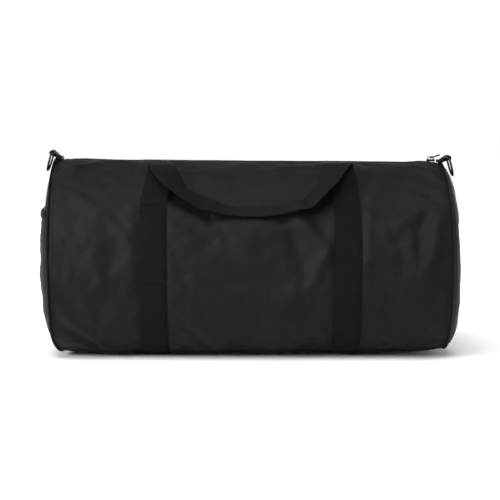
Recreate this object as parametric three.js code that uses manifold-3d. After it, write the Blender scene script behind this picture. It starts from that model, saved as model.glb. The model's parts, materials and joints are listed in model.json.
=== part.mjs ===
// A soft barrel duffel bag, standing on its two webbing bands. Millimetres, +Z up, front towards -Y.
// The origin is under the middle of the bag, on the surface that it stands on.
import * as THREE from "three";
import { mergeVertices } from "three/addons/utils/BufferGeometryUtils.js";
import Module from "manifold-3d";

const wasm = await Module();
wasm.setup();

// ---- Driving dimensions ----
const GAP = 0.4; // between pieces that touch on the real bag
const FACETS = 40; // round the barrel; every piece that fits it turns at the same angles
const ROWS = 12; // along the barrel
const DOME_RINGS = 5;
const POCKET_COLUMNS = 14;
const BAND_STEPS = 56;
const HANDLE_STEPS = 48;
const RING_STEPS = 36;
const WIRE_SIDES = 6;

const BARREL_RADIUS = 145;
const AXIS_HEIGHT = 138; // the barrel sags, so its axis is lower than its radius
const SOLE_HEIGHT = 2.4; // underside of the fabric, held up by the webbing under it
const SAG_EXPONENT = 2.3; // of the superellipse that the lower half follows
const SEAM_X = 284; // plane of each end seam
const FABRIC = 1.6; // thickness that stands for coated fabric and its turned edges
const END_DRAW = 3; // how far the seam pulls the barrel in at each end
const END_LIFT = 8; // how far the sole rises towards each end seam
const DRAW_EXPONENT = 8;

const MOUTH_ANGLE = 27; // from the top of the barrel to the fixed fabric, degrees
const BASE_SEAM_ANGLE = 144; // from the top to the seam between a side panel and the base, degrees
const MOUTH_END_X = 275; // ends of the zip and of the fabric that moves with it
const MOUTH_DROP = 2.4; // the moving fabric lies this far inside the barrel
const MOUTH_LAP_ANGLE = 32; // hidden edge of the moving fabric, under the fixed fabric
const ZIP_OPEN = 7; // from the zip's middle to the fabric edge, along the arc
const COIL_START = 0.25; // from the zip's middle to the coil, along the arc
const COIL_WIDTH = 2.4;
const COIL_HEIGHT = 2;
const COIL_DROP = 2.2; // the coil's top lies this far below the moving fabric's
const TAPE_REACH = 15; // along the arc from the zip's middle
const TAPE_THICKNESS = 0.9;
const COVER_CLEARANCE = 0.3; // degrees between a cover and the fixed fabric

const DOME_EXPONENT = 10; // an end panel turns sharply at its seam and is nearly flat inside it
const DOME_LEFT = 6;
const DOME_RIGHT = 11;
const POCKET_DOME = 12.2;
const POCKET_RIM = 0.975; // share of the end panel's radius that the pocket reaches
const POCKET_TOP = 206;
const POCKET_FLOOR = 16.4; // lowest point of the pocket
const POCKET_HEM = 7;
const HEM_THICKNESS = 2.2;
const HEM_INSET = 0.6; // the turned hem also thickens the cloth inwards

const PIPING_RADIUS = 1.6;
const BINDING_WIDTH = 7;
const BINDING_THICKNESS = 1.2;

const WEBBING = 38; // width of all the webbing
const WEBBING_THICKNESS = 2;
const BAND_X = 137.5;
const BAND_SEWN_ANGLE = 62; // where a band leaves the barrel for the handle, degrees from the top
const CREASE_ANGLE = 30; // where the handle folds over to hang down in front
const CREASE_RADIUS = 159;
const CREASE_INNER_X = 107;
const CREASE_OUTER_X = 145;
const CREASE_CLEARANCE = 5; // from the band's end to the crease, so that the handle can turn

const GRIP_HALF_LENGTH = 66;
const GRIP_THICKNESS = 5; // the webbing folded lengthwise on itself
const GRIP_SHARE = 0.14; // of the handle's length, each side of its middle, that is fully folded
const UNFOLDED_SHARE = 0.2; // where the webbing has opened flat again

const RING_WIRE = 1.5; // radius
const RING_DEPTH = 27; // from the straight bar's axis to the bow's
const RING_HALF_WIDTH = 21.5;
const RING_CORNER = 3;
const TAB_LEAF = 3.6; // the webbing doubled
const TAB_WIDTH = 36; // webbing drawn in a little by the ring
const TAB_KNEE_X = 281;
const TAB_START_X = 276;
const NECK_SHARE = 0.9; // of the tab's wrap round the bar, where its two leaves meet
const RING_PIVOT = { left: [290.5, 292], right: [291.5, 284.5] }; // x and z
const RING_TILT = { left: 16, right: 15 }; // outwards, where a ring leans on the bag, degrees

const SLIDER_X = 266;
const SLIDER_LENGTH = 12;
const SLIDER_WIDTH = 9;
const SLIDER_BODY = 3.2;
const SLIDER_TAIL = 0.72; // share of the width at the closed end
const BRIDGE_SPAN = 9;
const BRIDGE_HEIGHT = 4.4;
const BRIDGE_WIDTH = 2.4;
const BRIDGE_METAL = 1.2;
const BRIDGE_LAP = 0.6; // its feet run down into the body
const PULL_REACH = 14.5;
const PULL_WIDTH = 7.5;
const PULL_THICKNESS = 1.6;
const PULL_BAR = 0.8; // half the width of the bar that turns under the bridge
const PULL_EYE = 6.2; // length of the hole that the bridge passes through
const PULL_CORNER = 2;
const PULL_TILT = 20; // it lies on the ring tab, degrees above level

// ---- Derived sizes ----
const COIL_TOP = BARREL_RADIUS - MOUTH_DROP - COIL_DROP;
const TAPE_TOP = BARREL_RADIUS - MOUTH_DROP - FABRIC - GAP;
const SLIDER_BASE_Z = AXIS_HEIGHT + TAPE_TOP + GAP; // it runs just above the coils and the tapes
const PIVOT_Z = SLIDER_BASE_Z + SLIDER_BODY + BRIDGE_METAL + GAP; // of the pull

const radians = THREE.MathUtils.degToRad;
const mix = THREE.MathUtils.lerp;
const bag = new THREE.Group();

// ---- Materials ----
const material = (color, roughness, metalness = 0) =>
  new THREE.MeshStandardMaterial({ color, roughness, metalness });
const shellFabric = () => material(0x1b1b1c, 0.62);
const webbingFabric = () => material(0x151516, 0.75);
const trimFabric = () => material(0x121213, 0.7);
const zipNylon = () => material(0x0e0e0f, 0.45);
const blackMetal = () => material(0x1a1a1c, 0.3, 0.9);

// ---- The bag's form ----
// An angle is measured round the barrel's axis from the top, positive towards the front.

// How much the end seams draw the barrel in at x, from 0 in the middle to 1 at a seam.
function draw(x) {
  return Math.min(1, Math.abs(x) / SEAM_X) ** DRAW_EXPONENT;
}

// A point of the barrel's outer face, moved out by offset.
function barrelPoint(x, angle, offset = 0) {
  const radius = BARREL_RADIUS - END_DRAW * draw(x);
  const turn = radians(angle);
  const side = Math.sin(turn);
  const rise = Math.cos(turn);
  if (rise >= 0) {
    return new THREE.Vector3(x, -(radius + offset) * side, AXIS_HEIGHT + (radius + offset) * rise);
  }
  const power = 2 / SAG_EXPONENT;
  const y = -(radius + offset) * Math.sign(side) * Math.abs(side) ** power;
  const z = AXIS_HEIGHT - (radius + offset) * Math.abs(rise) ** power;
  const sole = SOLE_HEIGHT + END_LIFT * draw(x) - offset;
  return new THREE.Vector3(x, y, Math.max(z, sole));
}

// A point at a free radius from the barrel's axis.
function polarPoint(x, angle, radius) {
  const turn = radians(angle);
  return new THREE.Vector3(x, -radius * Math.sin(turn), AXIS_HEIGHT + radius * Math.cos(turn));
}

// A point of a domed end panel: share is 0 at its middle and 1 at the seam.
function domePoint(side, share, angle, height, offset) {
  const rim = barrelPoint(SEAM_X, angle);
  const x = SEAM_X + offset + height * (1 - share ** DOME_EXPONENT);
  return new THREE.Vector3(side * x, rim.y * share, mix(AXIS_HEIGHT, rim.z, share));
}

// ---- Solids ----

// Welds equal corners, drops empty triangles and turns the faces outwards.
function closed(positions, indices) {
  const loose = new THREE.BufferGeometry();
  loose.setAttribute("position", new THREE.Float32BufferAttribute(positions, 3));
  loose.setIndex(indices);
  const geometry = mergeVertices(loose, 1e-3);
  const corner = geometry.getAttribute("position");
  const kept = [];
  const triangle = [0, 1, 2].map(() => new THREE.Vector3());
  let volume = 0;
  for (let i = 0; i < geometry.index.count; i += 3) {
    const [a, b, c] = [0, 1, 2].map((k) => geometry.index.getX(i + k));
    if (a === b || b === c || c === a) continue;
    kept.push(a, b, c);
    triangle.forEach((point, k) => point.fromBufferAttribute(corner, [a, b, c][k]));
    volume += triangle[0].dot(triangle[1].cross(triangle[2]));
  }
  geometry.setIndex(volume < 0 ? kept.reverse() : kept);
  return geometry;
}

// A closed geometry made of a three.js geometry's faces, welded.
function closedFrom(geometry) {
  const bare = geometry.index ? geometry.toNonIndexed() : geometry;
  const position = [...bare.getAttribute("position").array];
  return closed(position, position.slice(0, position.length / 3).map((_, i) => i));
}

// The solid between two faces given as functions of (u, v), each from 0 to 1. With wrap, v runs
// round a loop.
function sheet(outer, inner, rows, columns, wrap = false) {
  const span = wrap ? columns : columns + 1;
  const positions = [];
  for (const face of [outer, inner]) {
    for (let row = 0; row <= rows; row++) {
      for (let column = 0; column < span; column++) {
        positions.push(...face(row / rows, column / columns).toArray());
      }
    }
  }
  const at = (layer, row, column) => (layer * (rows + 1) + row) * span + (column % span);
  const indices = [];
  const quad = (a, b, c, d) => indices.push(a, b, c, a, c, d);
  for (let row = 0; row < rows; row++) {
    for (let column = 0; column < columns; column++) {
      quad(at(0, row, column), at(0, row + 1, column), at(0, row + 1, column + 1), at(0, row, column + 1));
      quad(at(1, row, column), at(1, row, column + 1), at(1, row + 1, column + 1), at(1, row + 1, column));
    }
  }
  for (let column = 0; column < columns; column++) {
    quad(at(0, 0, column), at(0, 0, column + 1), at(1, 0, column + 1), at(1, 0, column));
    quad(at(0, rows, column), at(1, rows, column), at(1, rows, column + 1), at(0, rows, column + 1));
  }
  for (let row = 0; row < rows && !wrap; row++) {
    quad(at(0, row, 0), at(1, row, 0), at(1, row + 1, 0), at(0, row + 1, 0));
    quad(at(0, row, columns), at(0, row + 1, columns), at(1, row + 1, columns), at(1, row, columns));
  }
  return closed(positions, indices);
}

// A round wire along a flat closed path.
function wireLoop(path, normal, radius, steps, sides) {
  const positions = [];
  const indices = [];
  for (let step = 0; step < steps; step++) {
    const here = path(step / steps);
    const behind = ((step - 0.5 + steps) / steps) % 1;
    const tangent = path((step + 0.5) / steps).sub(path(behind)).normalize();
    const across = tangent.cross(normal).normalize();
    for (let side = 0; side < sides; side++) {
      const turn = (side / sides) * 2 * Math.PI;
      const point = here.clone().addScaledVector(across, radius * Math.cos(turn));
      positions.push(...point.addScaledVector(normal, radius * Math.sin(turn)).toArray());
      const next = ((step + 1) % steps) * sides;
      const beside = (side + 1) % sides;
      const base = step * sides;
      indices.push(base + side, next + side, next + beside, base + side, next + beside, base + beside);
    }
  }
  return closed(positions, indices);
}

// A flat outline pushed out along z.
function extruded(outline, depth, curveSegments) {
  return new THREE.ExtrudeGeometry(outline, { depth, curveSegments, bevelEnabled: false });
}

// Joins two closed geometries into one.
function join(first, second) {
  const solids = [first, second].map(closedFrom).map((geometry) => {
    const vertProperties = new Float32Array(geometry.getAttribute("position").array);
    const triVerts = new Uint32Array(geometry.index.array);
    return new wasm.Manifold(new wasm.Mesh({ numProp: 3, vertProperties, triVerts }));
  });
  const mesh = solids[0].add(solids[1]).getMesh();
  return closed([...mesh.vertProperties], [...mesh.triVerts]);
}

// Adds one piece to the bag.
function add(name, geometry, finish) {
  const mesh = new THREE.Mesh(geometry, finish);
  mesh.name = name;
  bag.add(mesh);
  return mesh;
}

// ---- Fabric ----

// Fabric that follows the barrel between two angles and two x.
function barrelFabric([fromX, toX], [fromAngle, toAngle], top, thickness, rows, columns) {
  const along = (u) => mix(fromX, toX, (1 - Math.cos(u * Math.PI)) / 2); // closer rows near both ends
  const face = (offset) => (u, v) => barrelPoint(along(u), mix(fromAngle, toAngle, v), offset);
  return sheet(face(top), face(top - thickness), rows, columns);
}

// Three panels wrap the barrel from one edge of the mouth, under the bag, to the other.
const barrelEnd = SEAM_X - GAP;
const perMillimetre = 180 / Math.PI / BARREL_RADIUS; // degrees of arc
const seamGap = (GAP * perMillimetre) / 2;
for (const [name, fromAngle, toAngle] of [
  ["front_panel", MOUTH_ANGLE, BASE_SEAM_ANGLE],
  ["base_panel", BASE_SEAM_ANGLE, 360 - BASE_SEAM_ANGLE],
  ["back_panel", 360 - BASE_SEAM_ANGLE, 360 - MOUTH_ANGLE],
]) {
  const around = [fromAngle + seamGap, toAngle - seamGap];
  const columns = ((toAngle - fromAngle) * FACETS) / 360;
  const reach = [-barrelEnd, barrelEnd];
  add(name, barrelFabric(reach, around, 0, FABRIC, ROWS, columns), shellFabric());
}

// The covers over the zip's two ends close the mouth against the end seams.
for (const [side, name] of [[-1, "left"], [1, "right"]]) {
  const coverX = [side * (MOUTH_END_X + GAP), side * barrelEnd];
  const reach = MOUTH_ANGLE - COVER_CLEARANCE;
  add(`zip_end_cover_${name}`, barrelFabric(coverX, [-reach, reach], 0, FABRIC, 1, 8), shellFabric());
}

// The mouth: fabric edges, zip tapes and coils, one set for the front and one for the back.
for (const [side, name] of [[1, "front"], [-1, "back"]]) {
  const reach = [-MOUTH_END_X, MOUTH_END_X];
  const arc = (from, to) => [side * from, side * to];
  const fabricArc = arc(ZIP_OPEN * perMillimetre, MOUTH_LAP_ANGLE);
  const coilEnd = COIL_START + COIL_WIDTH;
  const coilArc = arc(COIL_START * perMillimetre, coilEnd * perMillimetre);
  const tapeArc = arc((coilEnd + GAP) * perMillimetre, TAPE_REACH * perMillimetre);
  const coilTop = COIL_TOP - BARREL_RADIUS;
  const tapeTop = TAPE_TOP - BARREL_RADIUS;
  add(`mouth_panel_${name}`, barrelFabric(reach, fabricArc, -MOUTH_DROP, FABRIC, ROWS, 5), shellFabric());
  add(`zip_tape_${name}`, barrelFabric(reach, tapeArc, tapeTop, TAPE_THICKNESS, ROWS, 2), trimFabric());
  add(`zip_coil_${name}`, barrelFabric(reach, coilArc, coilTop, COIL_HEIGHT, ROWS, 1), zipNylon());
}

// The end panels, the cord in each end seam and the tape that binds the seam inside.
for (const [side, name, height] of [[-1, "left", DOME_LEFT], [1, "right", DOME_RIGHT]]) {
  const disc = (offset) => (u, v) => domePoint(side, Math.sqrt(u), 360 * v, height, offset);
  add(`end_panel_${name}`, sheet(disc(FABRIC), disc(0), DOME_RINGS, FACETS, true), shellFabric());

  const cord = (t) => barrelPoint(side * SEAM_X, 360 * t, PIPING_RADIUS + GAP);
  const axis = new THREE.Vector3(1, 0, 0);
  add(`piping_${name}`, wireLoop(cord, axis, PIPING_RADIUS, FACETS, WIRE_SIDES), trimFabric());

  const bindingTop = -FABRIC - 2 * GAP;
  const band = (offset) => (u, v) =>
    barrelPoint(side * (barrelEnd - GAP - BINDING_WIDTH * u), 360 * v, offset);
  const binding = sheet(band(bindingTop), band(bindingTop - BINDING_THICKNESS), 1, FACETS, true);
  add(`seam_binding_${name}`, binding, trimFabric());
}

// The slip pocket lies on the left end panel and is open along its top edge.
// A point of its outline: across is -1 at the front edge and 1 at the back.
function pocketPoint(across, z, offset) {
  const rim = BARREL_RADIUS - END_DRAW;
  const rise = (z - AXIS_HEIGHT) / rim;
  const y = across * rim * Math.sqrt(POCKET_RIM ** 2 - rise ** 2);
  const share = Math.hypot(y / rim, rise);
  const x = SEAM_X + FABRIC + GAP + offset + POCKET_DOME * (1 - share ** DOME_EXPONENT);
  return new THREE.Vector3(-x, y, z);
}
const pocketFace = (offset) => (u, v) =>
  pocketPoint(mix(-1, 1, v), mix(POCKET_FLOOR, POCKET_TOP, Math.sin((u * Math.PI) / 2)), offset);
add("end_pocket", sheet(pocketFace(FABRIC), pocketFace(0), 10, POCKET_COLUMNS), shellFabric());
const hemFace = (offset) => (u, v) =>
  pocketPoint(mix(-1, 1, v), POCKET_TOP + GAP + POCKET_HEM * u, offset);
const hem = sheet(hemFace(HEM_THICKNESS - HEM_INSET), hemFace(-HEM_INSET), 1, POCKET_COLUMNS);
add("pocket_hem", hem, trimFabric());

// ---- Webbing ----

// Webbing whose two edges are given as functions of t, with a thickness that may vary.
function webbing(firstEdge, secondEdge, thickness, steps) {
  const face = (sign) => (u, v) => {
    const a = firstEdge(u);
    const b = secondEdge(u);
    const step = 1e-3;
    const near = firstEdge(Math.max(0, u - step)).add(secondEdge(Math.max(0, u - step)));
    const far = firstEdge(Math.min(1, u + step)).add(secondEdge(Math.min(1, u + step)));
    const out = far.sub(near).cross(b.clone().sub(a)).normalize();
    return a.lerp(b, v).addScaledVector(out, (sign * thickness(u)) / 2);
  };
  return sheet(face(1), face(-1), steps, 1);
}

// A band: free from the front crease to the barrel, sewn down round under the bag, and free again
// up to the back crease.
const sewnOffset = GAP + WEBBING_THICKNESS / 2;
function bandEdge(side, outerEdge) {
  const sewnX = BAND_X + (outerEdge ? WEBBING : -WEBBING) / 2;
  const creaseX = outerEdge ? CREASE_OUTER_X : CREASE_INNER_X;
  return (t) => {
    const angle = mix(CREASE_ANGLE, 360 - CREASE_ANGLE, t);
    const fromTop = Math.min(angle, 360 - angle);
    const free = THREE.MathUtils.smoothstep(BAND_SEWN_ANGLE - fromTop, 0, BAND_SEWN_ANGLE - CREASE_ANGLE);
    const x = side * mix(sewnX, creaseX, free);
    const sewnRadius = BARREL_RADIUS + sewnOffset;
    const freeRadius = mix(sewnRadius, CREASE_RADIUS - CREASE_CLEARANCE, free);
    return fromTop > BAND_SEWN_ANGLE ? barrelPoint(x, angle, sewnOffset) : polarPoint(x, angle, freeRadius);
  };
}
for (const [side, name] of [[-1, "left"], [1, "right"]]) {
  const solid = webbing(bandEdge(side, false), bandEdge(side, true), () => WEBBING_THICKNESS, BAND_STEPS);
  add(`web_band_${name}`, solid, webbingFabric());
}

// A handle hangs from its crease in two falling legs with the folded grip between them. Each edge is
// a smooth curve through (x, angle, radius), from the crease to the end of the grip.
const INNER_FALL = [
  [CREASE_INNER_X, CREASE_ANGLE, CREASE_RADIUS],
  [98, 37.5, 156],
  [90, 45, 152],
  [GRIP_HALF_LENGTH, 53, 151],
];
const OUTER_FALL = [
  [CREASE_OUTER_X, CREASE_ANGLE, CREASE_RADIUS],
  [132, 40, 164],
  [107, 52, 166],
  [GRIP_HALF_LENGTH + 3, 61.5, 158],
];
const GRIP_MIDDLE = { inner: [0, 56.5, 150.5], outer: [0, 63.3, 150.5] };

// One edge of the handle, from its left crease (t = 0) through the grip to its right crease (t = 1).
function handleEdge(front, fall, middle) {
  const leg = (side) => fall.map(([x, angle, radius]) => polarPoint(side * x, front * angle, radius));
  const [x, angle, radius] = middle;
  const points = [...leg(-1), polarPoint(x, front * angle, radius), ...leg(1).reverse()];
  const curve = new THREE.CatmullRomCurve3(points, false, "centripetal");
  return (t) => curve.getPoint(t);
}
for (const [front, name] of [[1, "front"], [-1, "back"]]) {
  const inner = handleEdge(front, INNER_FALL, GRIP_MIDDLE.inner);
  const outer = handleEdge(front, OUTER_FALL, GRIP_MIDDLE.outer);
  const thickness = (t) => {
    const folded = 1 - THREE.MathUtils.smoothstep(Math.abs(t - 0.5), GRIP_SHARE, UNFOLDED_SHARE);
    return mix(WEBBING_THICKNESS, GRIP_THICKNESS, folded);
  };
  add(`${name}_handle`, webbing(inner, outer, thickness, HANDLE_STEPS), webbingFabric());
}

// ---- Rings and their tabs ----

// The tab is a doubled strip that wraps the ring's straight bar. Its outline is extruded across
// the webbing.
function tabGeometry(pivot) {
  const eye = RING_WIRE + GAP;
  const wrap = eye + TAB_LEAF / 2;
  const roof = AXIS_HEIGHT + BARREL_RADIUS - END_DRAW;
  const foot = new THREE.Vector2(TAB_START_X, barrelPoint(TAB_START_X, 0).z + GAP);
  const knee = new THREE.Vector2(TAB_KNEE_X, roof + 2 * (GAP + PIPING_RADIUS) + TAB_LEAF / 2);
  const eyeCentre = new THREE.Vector2(...pivot);
  const outline = new THREE.Shape();
  const lean = Math.atan2(eyeCentre.y - knee.y, eyeCentre.x - knee.x);
  const reach = eyeCentre.distanceTo(knee) - wrap * NECK_SHARE;
  const neck = knee.clone().add(new THREE.Vector2(Math.cos(lean), Math.sin(lean)).multiplyScalar(reach));
  const across = new THREE.Vector2(-Math.sin(lean), Math.cos(lean)).multiplyScalar(TAB_LEAF / 2);
  outline.moveTo(foot.x, foot.y);
  outline.lineTo(knee.x, knee.y - TAB_LEAF / 2);
  outline.lineTo(neck.x - across.x, neck.y - across.y);
  const start = Math.atan2(neck.y - across.y - eyeCentre.y, neck.x - across.x - eyeCentre.x);
  const end = Math.atan2(neck.y + across.y - eyeCentre.y, neck.x + across.x - eyeCentre.x);
  outline.absarc(eyeCentre.x, eyeCentre.y, wrap, start, end, false);
  outline.lineTo(knee.x, knee.y + TAB_LEAF / 2);
  outline.lineTo(foot.x, foot.y + TAB_LEAF);
  outline.closePath();
  const hole = new THREE.Path();
  hole.absarc(eyeCentre.x, eyeCentre.y, eye, 0, 2 * Math.PI, true);
  outline.holes.push(hole);
  const solid = extruded(outline, TAB_WIDTH, 10);
  solid.rotateX(Math.PI / 2);
  return closedFrom(solid.translate(0, TAB_WIDTH / 2, 0));
}

// The D-ring's path, from its straight bar down round the bow: a flat closed curve in y and depth.
function ringPath(side, [pivotX, pivotZ], tilt) {
  const outline = new THREE.Shape();
  const bow = RING_HALF_WIDTH;
  outline.moveTo(-bow + RING_CORNER, 0);
  outline.lineTo(bow - RING_CORNER, 0);
  outline.quadraticCurveTo(bow, 0, bow, RING_CORNER);
  outline.bezierCurveTo(bow, RING_DEPTH * 0.8, bow * 0.55, RING_DEPTH, 0, RING_DEPTH);
  outline.bezierCurveTo(-bow * 0.55, RING_DEPTH, -bow, RING_DEPTH * 0.8, -bow, RING_CORNER);
  outline.quadraticCurveTo(-bow, 0, -bow + RING_CORNER, 0);
  const lean = radians(tilt);
  const down = new THREE.Vector3(side * Math.sin(lean), 0, -Math.cos(lean));
  const pivot = new THREE.Vector3(side * pivotX, 0, pivotZ);
  return (t) => {
    const point = outline.getPointAt(((t % 1) + 1) % 1);
    return pivot.clone().addScaledVector(down, point.y).add(new THREE.Vector3(0, point.x, 0));
  };
}
for (const [side, name] of [[-1, "left"], [1, "right"]]) {
  const tab = tabGeometry(RING_PIVOT[name]);
  if (side < 0) {
    tab.rotateZ(Math.PI);
  }
  add(`ring_tab_${name}`, tab, webbingFabric());
  const lean = radians(RING_TILT[name]);
  const normal = new THREE.Vector3(side * Math.cos(lean), 0, Math.sin(lean));
  const path = ringPath(side, RING_PIVOT[name], RING_TILT[name]);
  add(`d_ring_${name}`, wireLoop(path, normal, RING_WIRE, RING_STEPS, WIRE_SIDES), blackMetal());
}

// ---- Zip slider and pull ----

// The slider's body is wide at its leading end; its bridge is a low arch that the pull turns under.
function sliderGeometry() {
  const long = SLIDER_LENGTH / 2;
  const wide = SLIDER_WIDTH / 2;
  const plan = new THREE.Shape();
  plan.moveTo(-long, -wide * SLIDER_TAIL);
  plan.lineTo(long * 0.5, -wide);
  plan.quadraticCurveTo(long, -wide, long, -wide * 0.5);
  plan.lineTo(long, wide * 0.5);
  plan.quadraticCurveTo(long, wide, long * 0.5, wide);
  plan.lineTo(-long, wide * SLIDER_TAIL);
  plan.closePath();
  const body = extruded(plan, SLIDER_BODY, 4);
  body.translate(SLIDER_X, 0, SLIDER_BASE_Z);

  const arch = new THREE.Shape();
  const half = BRIDGE_SPAN / 2;
  arch.moveTo(-half, -BRIDGE_LAP);
  arch.lineTo(-half, BRIDGE_HEIGHT * 0.6);
  arch.quadraticCurveTo(-half, BRIDGE_HEIGHT, -half * 0.5, BRIDGE_HEIGHT);
  arch.lineTo(half * 0.5, BRIDGE_HEIGHT);
  arch.quadraticCurveTo(half, BRIDGE_HEIGHT, half, BRIDGE_HEIGHT * 0.6);
  arch.lineTo(half, -BRIDGE_LAP);
  arch.lineTo(half - BRIDGE_METAL, -BRIDGE_LAP);
  arch.lineTo(half - BRIDGE_METAL, BRIDGE_HEIGHT - BRIDGE_METAL);
  arch.lineTo(-half + BRIDGE_METAL, BRIDGE_HEIGHT - BRIDGE_METAL);
  arch.lineTo(-half + BRIDGE_METAL, -BRIDGE_LAP);
  arch.closePath();
  const bridge = extruded(arch, BRIDGE_WIDTH, 4);
  bridge.rotateX(Math.PI / 2);
  bridge.translate(SLIDER_X, BRIDGE_WIDTH / 2, SLIDER_BASE_Z + SLIDER_BODY);
  return join(body, bridge);
}
add("zip_slider", sliderGeometry(), blackMetal());

// The pull lies flat, with its end bar under the bridge and the bridge's foot through its eye.
function pullGeometry() {
  const wide = PULL_WIDTH / 2;
  const outline = new THREE.Shape();
  outline.moveTo(-PULL_BAR, -wide);
  outline.lineTo(PULL_REACH - PULL_CORNER, -wide);
  outline.quadraticCurveTo(PULL_REACH, -wide, PULL_REACH, -wide + PULL_CORNER);
  outline.lineTo(PULL_REACH, wide - PULL_CORNER);
  outline.quadraticCurveTo(PULL_REACH, wide, PULL_REACH - PULL_CORNER, wide);
  outline.lineTo(-PULL_BAR, wide);
  outline.closePath();
  const eye = new THREE.Path();
  const eyeHalf = BRIDGE_WIDTH / 2 + 2 * GAP;
  eye.moveTo(PULL_BAR, -eyeHalf);
  eye.lineTo(PULL_BAR, eyeHalf);
  eye.lineTo(PULL_BAR + PULL_EYE, eyeHalf);
  eye.lineTo(PULL_BAR + PULL_EYE, -eyeHalf);
  eye.closePath();
  outline.holes.push(eye);
  const plate = extruded(outline, PULL_THICKNESS, 4);
  return closedFrom(plate.translate(0, 0, -PULL_THICKNESS / 2));
}
const pull = add("zip_pull", pullGeometry(), blackMetal());
pull.position.set(SLIDER_X, 0, PIVOT_Z);
pull.rotation.y = -radians(PULL_TILT);

export default bag;
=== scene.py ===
# Looks of a soft barrel duffel bag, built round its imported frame. Metres, +Z up, front towards -Y.
# Angles are degrees round the barrel from its top, positive towards the front.
import json
import math

import bpy
import numpy as np
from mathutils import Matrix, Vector, noise


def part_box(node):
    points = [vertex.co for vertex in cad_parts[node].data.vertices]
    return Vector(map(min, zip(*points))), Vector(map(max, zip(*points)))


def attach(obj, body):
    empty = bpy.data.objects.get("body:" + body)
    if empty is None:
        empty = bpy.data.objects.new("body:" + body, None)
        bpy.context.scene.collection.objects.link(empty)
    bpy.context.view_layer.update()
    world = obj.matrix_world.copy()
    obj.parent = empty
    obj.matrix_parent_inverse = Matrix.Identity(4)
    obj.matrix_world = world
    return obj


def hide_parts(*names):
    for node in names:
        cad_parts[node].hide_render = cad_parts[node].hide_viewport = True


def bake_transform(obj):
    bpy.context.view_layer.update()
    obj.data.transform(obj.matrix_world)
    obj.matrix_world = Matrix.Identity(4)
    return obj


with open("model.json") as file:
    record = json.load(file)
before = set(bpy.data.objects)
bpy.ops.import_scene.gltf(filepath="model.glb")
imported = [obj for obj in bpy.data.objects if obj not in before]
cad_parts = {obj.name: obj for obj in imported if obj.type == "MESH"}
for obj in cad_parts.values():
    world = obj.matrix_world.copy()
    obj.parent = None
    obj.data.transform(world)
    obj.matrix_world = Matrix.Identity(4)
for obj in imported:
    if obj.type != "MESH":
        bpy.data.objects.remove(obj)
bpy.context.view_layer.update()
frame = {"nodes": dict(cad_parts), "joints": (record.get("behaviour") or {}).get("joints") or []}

joints = {joint["name"]: joint for joint in frame["joints"]}

# ---- Driving sizes, read from the frame ----
RADIUS = -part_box("front_panel")[0].y
AXIS_Z = joints["mouth_front_open"]["pos_m"][2]
SOLE_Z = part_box("base_panel")[0].z
SEAM_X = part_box("end_panel_right")[0].x
MOUTH_END_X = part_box("mouth_panel_front")[1].x
WEBBING = 0.038
BAND_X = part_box("web_band_right")[1].x - WEBBING / 2
SLIDER_X = joints["zip_pull_hinge"]["pos_m"][0]

# ---- The barrel's form ----
SAG_EXPONENT = 2.3       # superellipse of the lower half
END_DRAW = 0.003         # the end seams draw the barrel in
LEFT_LIFT = 0.0045       # and lift its sole, less at the left end
RIGHT_LIFT = 0.0100
LEFT_RISE = 0.0055       # the top stands higher towards the left end
RIGHT_FALL = 0.0015      # and a little lower towards the right
RIGHT_SHOULDER = 0.0055  # how far the top of the right end seam slopes down
SOLE_ROUNDING = 0.003
ZIP_EDGE = 0.0058        # from the zip's middle to the fabric edge
ZIP_VALLEY = 0.0014      # how far the zip lies in
TOP_SETTLE = 0.0022      # how far the top sinks, along the whole zip
ZIP_HOLLOW = 0.0026      # how much deeper the zip lies towards its left end
FILL = 0.0012            # how far the filling pushes the cloth out all over
BASE_SEAM = 150          # degrees from the top
BASE_DRAW, BASE_DRAW_REACH = 0.0008, 0.0022
SEAM_PUCKER, SEAM_PUCKER_REACH = 0.0011, 0.014
BAND_PUCKER, BAND_PUCKER_REACH = 0.0006, 0.007
BAND_PRESS, BAND_PRESS_REACH = 0.0010, 0.004
CLOTH_LUMPS = (0.0034, 0.085, 3.7), (0.0015, 0.036, 9.1)    # each: height, size, seed of the noise


def degrees_of(arc):
    """The angle that an arc on the barrel covers."""
    return math.degrees(arc / RADIUS)


def spread(low, high, step):
    """Evenly spaced numbers from low to high, about step apart."""
    return np.linspace(low, high, max(2, int(round(abs(high - low) / step)) + 1))


def smooth(value, low, high):
    """0 below low and 1 above high, with a soft step between."""
    t = np.clip((np.asarray(value, float) - low) / (high - low), 0, 1)
    return t * t * (3 - 2 * t)


# How far the end seams stand out of their plane: (angle from the top, left end, right end), metres.
SEAM_SHIFTS = [
    (0, 0.0000, -0.0035),
    (30, 0.0010, -0.0020),
    (60, 0.0010, 0.0000),
    (90, 0.0005, 0.0010),
    (115, -0.0005, 0.0008),
    (130, -0.0008, 0.0000),
    (142, -0.0030, -0.0008),
    (151, -0.0070, -0.0032),
    (159, -0.0105, -0.0058),
    (168, -0.0130, -0.0076),
    (180, -0.0140, -0.0090),
]

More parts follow.
